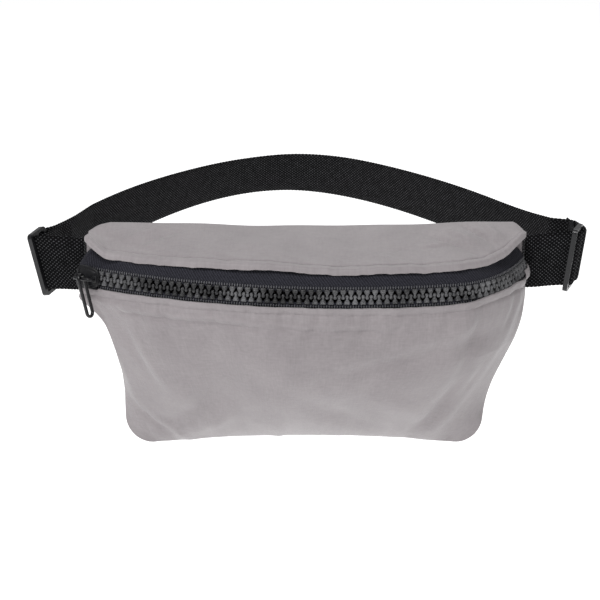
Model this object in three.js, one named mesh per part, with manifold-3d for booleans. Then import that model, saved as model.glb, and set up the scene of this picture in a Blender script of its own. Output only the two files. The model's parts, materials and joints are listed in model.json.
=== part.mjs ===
// A waist pack: a zipped pouch of satin cloth, with a webbing belt held by two tri-glide fittings.
// Millimetres. X runs along the bag, +Y points to the wearer, +Z is up. The origin is the middle of
// the back panel's outer face, the flat face that rests on the wearer. Heights below are counted
// from the pouch's lowest corners, and the whole bag is lowered by HOLD_HEIGHT at the end.
import * as THREE from "three";
import { mergeVertices } from "three/addons/utils/BufferGeometryUtils.js";
import Module from "manifold-3d";

const wasm = await Module();
wasm.setup();

const { degToRad, lerp, smoothstep } = THREE.MathUtils;

// Pouch
const SEAM_HALF_WIDTH = 119.5;
const BASE_HALF_WIDTH = 99.5;
const BASE_CORNER = 14;
const BOTTOM_RISE = 5;
const BACK_HEIGHT = 127;
const HOLD_HEIGHT = 50;
const CLOTH = 1.6;
const SEAM_Y = -2.1;
const BODY_DEPTH = 52;
const LID_CORNER = { left: 11, right: 5, reach: 10 };
const LID_END = { left: -117, right: 119 };
const LID_END_LIFT = { left: 7.5, right: 6 };

// Zip: a level arc across the front, with a tight corner on the left and a wide one on the right
const ZIP_LEVEL = 107.7;
const ZIP_TILT = degToRad(10);
const ZIP_RADIUS = 300;
const ZIP_CENTRE = new THREE.Vector2(22, 240.5);
const ZIP_LEFT_X = -119;
const ZIP_RIGHT_X = 78;
const ZIP_RIGHT_BEND_X = 104;
const CHAIN_GAP = 0.8;
const CHAIN_HALF_HEIGHT = 3.4;
const CHAIN_HALF_DEPTH = 1.6;
const TOOTH_PITCH = 4.15;
const TOOTH_DEPTH = 1.1;
const TAPE = 0.8;
const FRONT_EDGE_DROP = 6.3;
const LID_EDGE_RISE = 10.4;
const LID_FOLD_LEVEL = 100;
const CLEARANCE = 0.3;

// Slider and its pull
const SLIDER_X = -114.5;
const SLIDER_LENGTH = 12;
const SLIDER_HEIGHT = 13;
const PLATE = 1.7;
const PLATE_CLEARANCE = 1.0;
const BAIL_HEIGHT = 5.6;
const BAIL_WIRE = 0.9;
const RING_LENGTH = 25;
const RING_WIDTH = 6.6;
const RING_WALL = 1.6;
const RING_THICKNESS = 2;
const RING_SLANT = degToRad(14);

// Belt
const WEBBING = 30;
const WEB_THICKNESS = 1.4;
const WEB_BOTTOM = 90;
const WAIST_APEX_X = -10;
const WAIST_LEFT = 140;
const WAIST_RIGHT = 163;
const WAIST_DEPTH = 196;
const BELT_LEAN = { left: degToRad(25), right: degToRad(17) };

// Tri-glide fittings: where each one's middle bar stands, how far it is lifted above the belt's
// level at the back, the turn of its plate and of the belt leaving it in plan, and its lean outwards
const FITTINGS = {
  left: { x: 144, lift: 2, turn: degToRad(68.9), leave: degToRad(68.9), lean: degToRad(12) },
  right: { x: 147.6, lift: 4.2, turn: degToRad(110), leave: degToRad(88), lean: degToRad(7) },
};
const GLIDE_HEIGHT = 36;
const GLIDE_THICKNESS = 2.6;
const GLIDE_BAR = 2.4;
const GLIDE_RAIL = 1.8;
const FRONT_BAR = -6;
const REAR_BAR = 8;
const MID_LOOP = 2.6;
const REAR_LOOP = 3.3;

const cloth = { color: 0x9b9494, roughness: 0.55, metalness: 0 };
const tapeCloth = { color: 0x2c2c33, roughness: 0.9, metalness: 0 };
const toothPlastic = { color: 0x4a4a4e, roughness: 0.5, metalness: 0 };
const webbing = { color: 0x17171a, roughness: 0.85, metalness: 0 };
const glossPlastic = { color: 0x141416, roughness: 0.25, metalness: 0 };
const sliderMetal = { color: 0x1d1d20, roughness: 0.35, metalness: 0.6 };
const thread = { color: 0x1c1c20, roughness: 0.7, metalness: 0 };

const bag = new THREE.Group();

function piece(name, geometry, look, parent = bag) {
  const mesh = new THREE.Mesh(geometry, new THREE.MeshStandardMaterial(look));
  mesh.name = name;
  parent.add(mesh);
  return mesh;
}

// A slab of cloth or webbing: a box whose three directions each run 0 to 1, laid by place(u, v, w)
function slab(nu, nv, place) {
  const geometry = new THREE.BoxGeometry(1, 1, 1, nu, nv, 1);
  const position = geometry.attributes.position;
  for (let i = 0; i < position.count; i += 1) {
    const u = position.getX(i) + 0.5;
    const v = position.getY(i) + 0.5;
    const w = position.getZ(i) + 0.5;
    position.setXYZ(i, ...place(u, v, w));
  }
  return volume(geometry) < 0 ? turnedInsideOut(geometry) : geometry;
}

function volume(geometry) {
  const { index, attributes } = geometry;
  const corners = [new THREE.Vector3(), new THREE.Vector3(), new THREE.Vector3()];
  let total = 0;
  for (let i = 0; i < index.count; i += 3) {
    corners.forEach((c, k) => c.fromBufferAttribute(attributes.position, index.getX(i + k)));
    total += corners[0].dot(corners[1].clone().cross(corners[2])) / 6;
  }
  return total;
}

function turnedInsideOut(geometry) {
  geometry.setIndex(Array.from(geometry.index.array).reverse());
  return geometry;
}

// ---- The zip's path in plan, from the left side seam round the front to the right side seam ----

function arcY(x, inset = 0) {
  const radius = ZIP_RADIUS - inset;
  return ZIP_CENTRE.y - Math.sqrt(radius ** 2 - (x - ZIP_CENTRE.x) ** 2);
}

function arcAngle(x) {
  return Math.atan2(arcY(x) - ZIP_CENTRE.y, x - ZIP_CENTRE.x);
}

function zipPath() {
  const { x, y } = ZIP_CENTRE;
  const slope = -1 / Math.tan(arcAngle(ZIP_RIGHT_X));
  const bendY = arcY(ZIP_RIGHT_X) + slope * (ZIP_RIGHT_BEND_X - ZIP_RIGHT_X);
  const path = new THREE.Path();
  path.moveTo(-SEAM_HALF_WIDTH - 0.3, SEAM_Y);
  path.lineTo(-SEAM_HALF_WIDTH - 1.8, -15);
  path.quadraticCurveTo(-SEAM_HALF_WIDTH - 2.8, -22.5, ZIP_LEFT_X, arcY(ZIP_LEFT_X));
  path.absarc(x, y, ZIP_RADIUS, arcAngle(ZIP_LEFT_X), arcAngle(ZIP_RIGHT_X), false);
  path.quadraticCurveTo(ZIP_RIGHT_BEND_X, bendY, SEAM_HALF_WIDTH, -9);
  path.lineTo(SEAM_HALF_WIDTH + 0.3, SEAM_Y);
  return path;
}

const zip = zipPath();
zip.arcLengthDivisions = 1200;
const zipLength = zip.getLength();

// A point of the zip band: along the path, up the leaning band, and inwards through its thickness
function bandPoint(along, rise, inward) {
  const point = zip.getPointAt(along);
  const tangent = zip.getTangentAt(along);
  const shift = inward + rise * Math.sin(ZIP_TILT);
  return [
    point.x - tangent.y * shift,
    point.y + tangent.x * shift,
    ZIP_LEVEL + rise * Math.cos(ZIP_TILT),
  ];
}

// Share of the path's length at which the arc reaches x
function shareAt(x) {
  let low = 0;
  let high = 1;
  for (let i = 0; i < 40; i += 1) {
    const middle = (low + high) / 2;
    if (zip.getPointAt(middle).x < x) low = middle;
    else high = middle;
  }
  return low;
}

// Places along the path where the cloth and tapes are bent: closer together round the corners
const cornerLeft = 28 / zipLength;
const cornerRight = shareAt(ZIP_RIGHT_X);
const stations = [
  ...spread(0, cornerLeft, 10),
  ...spread(cornerLeft, cornerRight, 17),
  ...spread(cornerRight, 1, 10),
  1,
];
const SPANS = stations.length - 1;

function spread(from, to, count) {
  return Array.from({ length: count }, (_, i) => lerp(from, to, i / count));
}

// ---- Pouch ----

// The pouch flares out to the seam late on its left, and sooner on its right
function halfWidth(z, x) {
  const late = Math.min(1, Math.max(0, (z - 20) / 76)) ** 4;
  const flare = x < 0 ? late : smoothstep(z, 14, 96);
  const side = lerp(BASE_HALF_WIDTH, SEAM_HALF_WIDTH, flare);
  const below = Math.max(0, BASE_CORNER - z) / BASE_CORNER;
  return side - BASE_CORNER * (1 - Math.sqrt(1 - below ** 2));
}

function bottomEdge(x) {
  const corner = BASE_HALF_WIDTH - BASE_CORNER;
  return BOTTOM_RISE * Math.max(0, 1 - (x / corner) ** 2);
}

// Depth of the pouch at a share of its height, 1 at the zip
function fullness(share) {
  const swell = 1 + 0.05 * Math.sin(Math.PI * Math.min(1, share));
  return swell * (1 - (1 - Math.min(1, share * 1.35)) ** 1.7) ** 0.75;
}

const FRONT_TOP = ZIP_LEVEL - FRONT_EDGE_DROP;

function frontSurface(along, share) {
  const [px, py] = bandPoint(along, -FRONT_EDGE_DROP, -2.3);
  const level = share * FRONT_TOP;
  const even = (2 * along - 1) * SEAM_HALF_WIDTH;
  const across = lerp(even, px, Math.min(1, share * 1.5));
  const x = (across * halfWidth(level, across)) / SEAM_HALF_WIDTH;
  const lens = -BODY_DEPTH * (1 - Math.min(1, Math.abs(even) / SEAM_HALF_WIDTH) ** 2.4);
  const outline = lerp(lens, py - SEAM_Y, share);
  const low = bottomEdge(x);
  const onSeam = along === 0 || along === 1;
  const y = onSeam ? SEAM_Y : SEAM_Y + Math.min(0, outline) * fullness(share);
  return new THREE.Vector3(x, y, lerp(low, FRONT_TOP, share));
}

function frontPanel() {
  const step = 0.004;
  return slab(SPANS, 12, (u, v, w) => {
    const share = v ** 1.25;
    const along = clampShare(stations[Math.round(u * SPANS)]);
    const point = frontSurface(along, share);
    const a0 = Math.max(0.0001, along - step);
    const a1 = Math.min(0.9999, along + step);
    const s0 = Math.max(0, share - step);
    const s1 = Math.min(1, share + step);
    const across = frontSurface(a1, share).sub(frontSurface(a0, share));
    const up = frontSurface(along, s1).sub(frontSurface(along, s0));
    const inward = up.cross(across).normalize();
    point.addScaledVector(inward, w * CLOTH);
    return [point.x, Math.min(point.y, SEAM_Y), point.z];
  });
}

const clampShare = (u) => Math.min(0.9999, Math.max(0.0001, u));

function backPanel() {
  const top = LID_FOLD_LEVEL - CLEARANCE;
  return slab(16, 9, (u, v, w) => {
    const level = v ** 1.3 * top;
    const x = (2 * u - 1) * halfWidth(level, u - 0.5);
    return [x, -w * CLOTH, lerp(bottomEdge(x), top, v ** 1.3)];
  });
}

// Front edge of the lid in plan
function lidEdge(x) {
  const left = -98;
  const inset = 3.4;
  if (x < left) {
    const share = (left - x) / (SEAM_HALF_WIDTH + left);
    return arcY(left, inset) + 18 * (1 - Math.sqrt(Math.max(0, 1 - share ** 2)));
  }
  if (x < ZIP_RIGHT_X) return arcY(x, inset);
  const share = Math.min(1, (x - ZIP_RIGHT_X) / (SEAM_HALF_WIDTH - ZIP_RIGHT_X));
  return lerp(-9, arcY(ZIP_RIGHT_X, inset), (1 - share ** 1.4) ** (1 / 1.4));
}

// How far the lid's end is drawn in at a distance from the fold along its top edge
function lidCorner(size, y, z) {
  const distance = BACK_HEIGHT - z - y;
  return size * (1 - Math.min(1, distance / LID_CORNER.reach)) ** 1.3;
}

// How much higher the lid's front edge is at its ends
function lidEndLift(x) {
  const lift = x < 0 ? LID_END_LIFT.left : LID_END_LIFT.right;
  return lift * smoothstep(Math.abs(x), SEAM_HALF_WIDTH - 17, SEAM_HALF_WIDTH) ** 1.3;
}

// The lid: the top of the back, the fold over the top edge and the top panel down to the zip
function lidProfile(x, v) {
  const fold = 3;
  const edge = lidEdge(x);
  const rise = LID_EDGE_RISE * Math.cos(ZIP_TILT);
  if (v <= 0.25) return [0, lerp(LID_FOLD_LEVEL + CLEARANCE, BACK_HEIGHT - fold, v / 0.25)];
  if (v < 0.5) {
    const turn = ((v - 0.25) / 0.25) * (Math.PI / 2);
    return [fold * (Math.cos(turn) - 1), BACK_HEIGHT - fold + fold * Math.sin(turn)];
  }
  const t = (v - 0.5) / 0.5;
  const front = ZIP_LEVEL + rise + 1.4 + lidEndLift(x);
  return [lerp(-fold, edge, t), lerp(BACK_HEIGHT, front, t ** 1.6)];
}

function topPanel() {
  const step = 0.002;
  return slab(28, 14, (u, v, w) => {
    const wide = lerp(LID_END.left, LID_END.right, u);
    const [y, z] = lidProfile(wide, v);
    const [y0, z0] = lidProfile(wide, Math.max(0, v - step));
    const [y1, z1] = lidProfile(wide, Math.min(1, v + step));
    const inward = new THREE.Vector2(z0 - z1, y1 - y0).normalize().multiplyScalar(w * CLOTH);
    const size = wide < 0 ? LID_CORNER.left : LID_CORNER.right;
    const x = wide * (1 - lidCorner(size, y, z) / SEAM_HALF_WIDTH);
    return [x, y + inward.x, z + inward.y];
  });
}

// One strip of binding inside the bag, down one side seam, along the base and up the other side
function seamBinding() {
  const inset = 12;
  const base = 0.36;
  const top = LID_FOLD_LEVEL - 6;
  return slab(44, 1, (u, v, w) => {
    const turn = 2 * u - 1;
    const onSide = Math.max(0, (Math.abs(turn) - base) / (1 - base));
    const level = lerp(inset, top, onSide);
    const reach = halfWidth(level, turn) - inset + v;
    const x = onSide > 0 ? Math.sign(turn) * reach : (turn / base) * reach;
    const z = onSide > 0 ? level : lerp(level, level + BOTTOM_RISE, 1 - (turn / base) ** 2) - v;
    return [x, -2.4 - w * 2, z];
  });
}

// ---- Zip ----

const teethStart = shareAt(SLIDER_X - 2);
const tapeEnd = 1 - 0.6 / zipLength;
const teethCount = Math.floor(((tapeEnd - teethStart) * zipLength) / TOOTH_PITCH);

function tape(side, near, far) {
  return slab(SPANS, 3, (u, v, w) => {
    const along = Math.min(tapeEnd, Math.max(1 / zipLength, stations[Math.round(u * SPANS)]));
    const end = side > 0 ? 0.8 * lidEndLift(zip.getPointAt(along).x) : 0;
    const reach = lerp(near, far + end, v);
    const tuck = Math.max(0, reach - FRONT_EDGE_DROP) * (side < 0 ? 0.5 : 0);
    return bandPoint(along, side * reach, w * TAPE + tuck);
  });
}

function teeth(side) {
  return slab(teethCount * 2, 1, (u, v, w) => {
    const step = Math.round(u * teethCount * 2);
    const notch = step % 2 === 0 ? 0 : TOOTH_DEPTH;
    const rise = lerp(CHAIN_GAP + notch, CHAIN_HALF_HEIGHT, v);
    const along = lerp(teethStart, teethStart + (teethCount * TOOTH_PITCH) / zipLength, u);
    return bandPoint(Math.min(along, tapeEnd), side * rise, lerp(-1, 1, w) * CHAIN_HALF_DEPTH);
  });
}

function stop(side) {
  const start = teethStart - 2.6 / zipLength;
  return slab(1, 1, (u, v, w) => {
    const along = lerp(start, teethStart - CLEARANCE / zipLength, u);
    return bandPoint(along, side * lerp(CHAIN_GAP, CHAIN_HALF_HEIGHT, v), lerp(-1.3, 1.3, w));
  });
}

function zipEndCover() {
  const from = 1 - 12 / zipLength;
  return slab(6, 1, (u, v, w) => {
    const along = lerp(from, 1 - 1 / zipLength, u);
    return bandPoint(along, lerp(-5.6, -1, v), -CHAIN_HALF_DEPTH - CLEARANCE - w * 1);
  });
}

// ---- Slider: two plates joined by a web that runs between the rows of teeth ----

const PLATE_NEAR = CHAIN_HALF_DEPTH + PLATE_CLEARANCE;
const PLATE_FAR = PLATE_NEAR + PLATE;

// Section across the zip: x is the way out of the bag, y runs up the band
function sliderBody() {
  const half = SLIDER_HEIGHT / 2;
  const web = CHAIN_GAP - CLEARANCE;
  const section = new THREE.Shape();
  section.moveTo(-PLATE_FAR, -half);
  section.lineTo(-PLATE_NEAR, -half);
  section.lineTo(-PLATE_NEAR, -web);
  section.lineTo(PLATE_NEAR, -web);
  section.lineTo(PLATE_NEAR, -half);
  section.lineTo(PLATE_FAR, -half);
  section.lineTo(PLATE_FAR, half);
  section.lineTo(PLATE_NEAR, half);
  section.lineTo(PLATE_NEAR, web);
  section.lineTo(-PLATE_NEAR, web);
  section.lineTo(-PLATE_NEAR, half);
  section.lineTo(-PLATE_FAR, half);
  section.closePath();
  const body = new THREE.ExtrudeGeometry(section, { depth: SLIDER_LENGTH, bevelEnabled: false });
  body.translate(0, 0, -SLIDER_LENGTH / 2);
  body.rotateX(Math.PI / 2);
  body.rotateZ(-Math.PI / 2);
  return body;
}

// An arch of wire along the slider's outer plate, with the middle of its bar at the origin
function sliderBail() {
  const foot = BAIL_HEIGHT - CLEARANCE;
  const arch = new THREE.CatmullRomCurve3([
    new THREE.Vector3(-5.4, foot, 0),
    new THREE.Vector3(-5.2, 1.4, 0),
    new THREE.Vector3(-3.8, 0, 0),
    new THREE.Vector3(3.8, 0, 0),
    new THREE.Vector3(5.2, 1.4, 0),
    new THREE.Vector3(5.4, foot, 0),
  ]);
  const wire = new THREE.Shape().absarc(0, 0, BAIL_WIRE, 0, Math.PI * 2, false);
  return new THREE.ExtrudeGeometry(wire, { steps: 24, curveSegments: 4, extrudePath: arch });
}

function stadium(path, halfWide, top, bottom) {
  path.absarc(0, top - halfWide, halfWide, 0, Math.PI, false);
  path.absarc(0, bottom + halfWide, halfWide, Math.PI, Math.PI * 2, false);
  path.closePath();
  return path;
}

function pullRing() {
  const top = BAIL_WIRE + 0.5 + RING_WALL;
  const bottom = top - RING_LENGTH;
  const half = RING_WIDTH / 2;
  const ring = stadium(new THREE.Shape(), half, top, bottom);
  const eye = stadium(new THREE.Path(), half - RING_WALL, top - RING_WALL, bottom + RING_WALL);
  ring.holes.push(eye);
  const look = { depth: RING_THICKNESS, bevelEnabled: false, curveSegments: 8 };
  const body = new THREE.ExtrudeGeometry(ring, look);
  body.translate(0, 0, -RING_THICKNESS / 2);
  body.rotateX(Math.PI / 2);
  body.rotateZ(Math.PI / 2);
  return body;
}

function addSlider() {
  const along = shareAt(SLIDER_X);
  const tangent = zip.getTangentAt(along);
  const slider = new THREE.Group();
  slider.position.set(...bandPoint(along, 0, 0));
  slider.rotation.z = Math.atan2(tangent.y, tangent.x);
  const leaning = new THREE.Group();
  leaning.rotation.x = -ZIP_TILT;
  slider.add(leaning);
  bag.add(slider);
  piece("slider_body", sliderBody(), sliderMetal, leaning);
  const bar = PLATE_FAR + BAIL_HEIGHT;
  piece("slider_bail", sliderBail(), sliderMetal, leaning).position.y = -bar;
  const ring = piece("pull_ring", pullRing(), glossPlastic, slider);
  ring.position.set(0, -bar * Math.cos(ZIP_TILT), bar * Math.sin(ZIP_TILT));
  ring.rotation.y = -RING_SLANT;
}

// ---- Tri-glide fittings ----

function solid(geometry) {
  const bare = geometry.clone();
  bare.deleteAttribute("normal");
  bare.deleteAttribute("uv");
  const merged = mergeVertices(bare, 1e-4);
  const vertProperties = Float32Array.from(merged.attributes.position.array);
  const triVerts = Uint32Array.from(merged.index.array);
  return new wasm.Manifold(new wasm.Mesh({ numProp: 3, vertProperties, triVerts }));
}

function cut(geometry, tools) {
  const rest = tools.reduce((body, tool) => body.subtract(solid(tool)), solid(geometry));
  const { vertProperties, triVerts } = rest.getMesh();
  const result = new THREE.BufferGeometry();
  result.setAttribute("position", new THREE.BufferAttribute(vertProperties, 3));
  result.setIndex(new THREE.BufferAttribute(triVerts, 1));
  return result;
}

function triGlide() {
  const front = FRONT_BAR - GLIDE_BAR / 2;
  const rear = REAR_BAR + GLIDE_BAR / 2;
  const [high, r] = [GLIDE_HEIGHT / 2, 2.4];
  const plate = new THREE.Shape();
  plate.absarc(rear - r, high - r, r, 0, Math.PI / 2, false);
  plate.absarc(front + r, high - r, r, Math.PI / 2, Math.PI, false);
  plate.absarc(front + r, r - high, r, Math.PI, Math.PI * 1.5, false);
  plate.absarc(rear - r, r - high, r, Math.PI * 1.5, Math.PI * 2, false);
  const look = { depth: GLIDE_THICKNESS, bevelEnabled: false, curveSegments: 4 };
  const body = new THREE.ExtrudeGeometry(plate, look);
  body.translate(0, 0, -GLIDE_THICKNESS / 2);
  body.rotateX(Math.PI / 2);
  const slots = [FRONT_BAR, REAR_BAR].map((bar) => {
    const wide = Math.abs(bar) - GLIDE_BAR;
    const slot = new THREE.BoxGeometry(wide, GLIDE_THICKNESS * 2, GLIDE_HEIGHT - 2 * GLIDE_RAIL);
    return slot.translate(bar / 2, 0, 0);
  });
  return cut(body, slots);
}

// ---- Webbing: a ribbon standing on edge along a route in plan ----

function ribbon(route, leanAt) {
  const last = route.length - 1;
  const sideways = route.map((_, i) => {
    const ahead = route[Math.min(last, i + 1)];
    const behind = route[Math.max(0, i - 1)];
    const run = ahead.clone().sub(behind).normalize();
    return new THREE.Vector2(-run.y, run.x);
  });
  return slab(last, 1, (u, v, w) => {
    const i = Math.round(u * last);
    const lean = leanAt(route[i]);
    const offset = (w - 0.5) * WEB_THICKNESS;
    const x = route[i].x + sideways[i].x * offset + (v - 0.5) * WEBBING * Math.tan(lean.outward);
    const y = route[i].y + sideways[i].y * offset - v * WEBBING * Math.sin(lean.inward);
    return [x, y, WEB_BOTTOM + lean.lift + v * WEBBING * Math.cos(lean.inward)];
  });
}

// The webbing leans and lifts with each fitting it passes round, and leans inwards at the back
function webLean(p) {
  const side = p.x < 0 ? -1 : 1;
  const fitting = side < 0 ? FITTINGS.left : FITTINGS.right;
  const near = smoothstep(Math.abs(p.x), fitting.x - 22, fitting.x - 6);
  const fade = 1 - smoothstep(p.y, 12, 50);
  const toRight = smoothstep(p.x, -40, 40);
  const back = lerp(BELT_LEAN.left, BELT_LEAN.right, toRight);
  const out = smoothstep(Math.abs(p.x), SEAM_HALF_WIDTH, fitting.x - 5);
  return {
    lift: fitting.lift * (1 - smoothstep(p.y, 10, 75)) * lerp(0.6, 1, out),
    outward: side * fitting.lean * near * fade,
    inward: back * smoothstep(p.y, 35, WAIST_DEPTH),
  };
}

const point = (x, y) => new THREE.Vector2(x, y);

function loopRound(centre, radius, from, to, steps = 6) {
  return Array.from({ length: steps + 1 }, (_, i) => {
    const angle = lerp(from, to, i / steps);
    return point(centre.x + radius * Math.cos(angle), centre.y + radius * Math.sin(angle));
  });
}

// A tab as it lies on the left: out from the side seam, round the fitting's middle bar and back
function tabRoute(fitting, seam) {
  const bar = point(-fitting.x, 0);
  const round = loopRound(bar, MID_LOOP, -Math.PI / 2, -Math.PI * 1.5, 8);
  return [point(seam, -1.9), point(-134, -2.2), ...round, point(-134, 0.7), point(seam, 0.1)];
}

function waistPoint(angle) {
  const [wide, power] = angle < 0 ? [WAIST_LEFT, 2] : [WAIST_RIGHT, 1.75];
  const across = Math.sin(angle);
  return point(WAIST_APEX_X + wide * across, WAIST_DEPTH * (1 - Math.abs(across) ** power));
}

// A place beside the fitting's rear bar as it lies on the left: along the belt, and out of it
function beside(fitting, distance, outward) {
  const bar = point(Math.cos(fitting.turn), Math.sin(fitting.turn)).multiplyScalar(REAR_BAR);
  const run = point(Math.cos(fitting.leave), Math.sin(fitting.leave));
  const out = point(-run.y, run.x);
  return bar.add(point(-fitting.x, 0)).addScaledVector(run, distance).addScaledVector(out, outward);
}

// The belt's end: a sewn-back layer, the turn round the rear bar, and the start of the long run
function beltEnd(fitting) {
  const at = (distance, outward) => beside(fitting, distance, outward);
  const start = fitting.leave - Math.PI / 2;
  const turn = loopRound(at(0, 0), REAR_LOOP, start, start - Math.PI, 8);
  const inner = [at(23, -2.2), at(16, -1.9), at(10, -2.2), at(5, -2.9)];
  return [...inner, ...turn, at(5, 2.9), at(10, 1), at(16, 0.2)];
}

function beltRoute() {
  const left = beltEnd(FITTINGS.left);
  const right = beltEnd(FITTINGS.right).map((p) => point(-p.x, p.y));
  const angleAt = (x, wide) => Math.asin((x - WAIST_APEX_X) / wide);
  const start = angleAt(left[left.length - 1].x + 11, WAIST_LEFT);
  const end = angleAt(right[right.length - 1].x - 11, WAIST_RIGHT);
  const steps = 44;
  const round = Array.from({ length: steps + 1 }, (_, i) =>
    waistPoint(lerp(start, end, i / steps)),
  );
  return [...left, ...round, ...right.reverse()];
}

function bartack(spot, turn) {
  const block = new THREE.BoxGeometry(5, 0.5, WEBBING - 6);
  block.rotateZ(turn);
  const { outward, lift } = webLean(spot);
  block.rotateY(outward);
  block.translate(spot.x, spot.y, WEB_BOTTOM + lift + WEBBING / 2);
  return block;
}

function addSide(name, side) {
  const fitting = FITTINGS[name];
  const tab = tabRoute(fitting, -SEAM_HALF_WIDTH - 5).map((p) => point(-side * p.x, p.y));
  piece(`${name}_tab`, ribbon(tab, webLean), webbing);
  const { x, y } = beside(fitting, 17, 1.7);
  const stitches = bartack(point(-side * x, y), -side * fitting.leave);
  piece(`${name}_belt_bartack`, stitches, thread);
  const glide = piece(`${name}_tri_glide`, triGlide(), glossPlastic);
  glide.position.set(side * fitting.x, 0, WEB_BOTTOM + fitting.lift + WEBBING / 2);
  glide.rotation.order = "YZX";
  glide.rotation.set(0, side * fitting.lean, side < 0 ? fitting.turn : Math.PI - fitting.turn);
}

piece("front_panel", frontPanel(), cloth);
piece("back_panel", backPanel(), cloth);
piece("top_panel", topPanel(), cloth);
piece("seam_binding", seamBinding(), tapeCloth);
piece("zip_tape_lower", tape(-1, CHAIN_HALF_HEIGHT + CLEARANCE, 10), tapeCloth);
piece("zip_tape_upper", tape(1, CHAIN_HALF_HEIGHT + CLEARANCE, LID_EDGE_RISE - 0.6), tapeCloth);
piece("zip_teeth_lower", teeth(-1), toothPlastic);
piece("zip_teeth_upper", teeth(1), toothPlastic);
piece("zip_top_stop_lower", stop(-1), toothPlastic);
piece("zip_top_stop_upper", stop(1), toothPlastic);
piece("zip_end_cover", zipEndCover(), cloth);
addSlider();
addSide("left", -1);
addSide("right", 1);
piece("belt_webbing", ribbon(beltRoute(), webLean), webbing);
bag.position.z = -HOLD_HEIGHT;

export default bag;
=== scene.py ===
"""A waist pack around its CAD frame: satin cloth pouch, moulded zip, webbing belt and fittings.

Lengths are written in millimetres and turned into metres by MM. Heights are counted from the
pouch's lowest corners, as in the CAD, and BASE is where those corners are in the frame.
"""
import json
import math
from collections import namedtuple

import bpy
import numpy as np
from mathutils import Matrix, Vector


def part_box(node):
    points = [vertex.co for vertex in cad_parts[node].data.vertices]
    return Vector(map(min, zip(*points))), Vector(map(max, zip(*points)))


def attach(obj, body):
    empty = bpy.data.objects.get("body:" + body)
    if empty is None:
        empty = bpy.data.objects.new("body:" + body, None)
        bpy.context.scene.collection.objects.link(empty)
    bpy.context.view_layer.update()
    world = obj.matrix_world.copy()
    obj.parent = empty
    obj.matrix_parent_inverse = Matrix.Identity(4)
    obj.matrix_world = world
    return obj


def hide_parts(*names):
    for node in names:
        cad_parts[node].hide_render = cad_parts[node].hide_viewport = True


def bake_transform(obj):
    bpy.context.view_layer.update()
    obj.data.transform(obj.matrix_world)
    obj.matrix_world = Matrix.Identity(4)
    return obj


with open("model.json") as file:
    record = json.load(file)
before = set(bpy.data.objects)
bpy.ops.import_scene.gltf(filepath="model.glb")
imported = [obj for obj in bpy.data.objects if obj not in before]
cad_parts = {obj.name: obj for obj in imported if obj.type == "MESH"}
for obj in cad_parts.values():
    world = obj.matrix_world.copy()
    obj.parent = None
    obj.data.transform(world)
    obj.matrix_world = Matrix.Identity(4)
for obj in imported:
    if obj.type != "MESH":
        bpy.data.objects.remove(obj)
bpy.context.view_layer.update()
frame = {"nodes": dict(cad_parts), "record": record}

MM = 0.001
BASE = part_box("back_panel")[0][2] / MM
JOINTS = {j["name"]: j for j in frame["record"]["behaviour"]["joints"]}

# Pouch, in millimetres
SEAM_HALF_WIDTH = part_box("back_panel")[1][0] / MM
BASE_HALF_WIDTH = 99.5
BASE_CORNER = 14
BOTTOM_RISE = 5
BACK_HEIGHT = (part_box("top_panel")[1][2] / MM) - BASE
SEAM_Y = -2.1
BODY_DEPTH = 52
LID_CORNERS, CORNER_REACH = (11, 5), 10

# Zip, in millimetres
ZIP_CENTRE = [c / MM for c in JOINTS["slider_travel"]["pos_m"]]
ZIP_LEVEL = ZIP_CENTRE[2] - BASE
ZIP_RADIUS = 300
ZIP_TILT = math.radians(10)
ZIP_LEFT_X, ZIP_RIGHT_X, ZIP_RIGHT_BEND_X = -119, 78, 104
TOOTH_PITCH = 4.15
FRONT_EDGE = -5.3
LID_EDGE = 13.3
SLIDER_X = -114.5

# Webbing, in millimetres
WEB_WIDTH = 30
WEB_THICKNESS = 1.5
WEB_BOTTOM = 90
WAIST_APEX_X, WAIST_LEFT, WAIST_RIGHT, WAIST_DEPTH = -10, 140, 163, 196
BELT_LEAN = (math.radians(25), math.radians(17))
REAR_BAR, MID_LOOP, REAR_LOOP = 8, 2.6, 3.3
TAB_START = -121

# Camera and floor, in metres
CAMERA_AIM = (-0.0024, 0.0345)
CAMERA_ELEVATION = math.radians(20)
CAMERA_DISTANCE = 1.0
FLOOR_REACH, FLOOR_DROP = 6.0, 0.16


Fitting = namedtuple("Fitting", "x turn leave lean lift")


def fitting_place(word, turn, leave, lean):
    """A tri-glide: its middle bar's distance out, turns of plate and belt in plan, lean and lift."""
    pos = JOINTS[f"{word}_glide_swivel"]["pos_m"]
    lift = pos[2] / MM - BASE - WEB_BOTTOM - WEB_WIDTH / 2
    return Fitting(abs(pos[0]) / MM, *(math.radians(a) for a in (turn, leave, lean)), lift)


FITTINGS = {-1: fitting_place("left", 68.9, 68.9, 12), 1: fitting_place("right", 110, 88, 7)}


def smooth(x, low, high):
    t = np.clip((np.asarray(x, float) - low) / (high - low), 0, 1)
    return t * t * (3 - 2 * t)


def lerp(a, b, t):
    return a + (b - a) * t


def unit(vectors):
    return vectors / np.linalg.norm(vectors, axis=-1, keepdims=True)


# ---------------------------------------------------------------- meshes


def add_object(name, mesh):
    thing = bpy.data.objects.new(name, mesh)
    bpy.context.scene.collection.objects.link(thing)
    return thing


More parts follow.
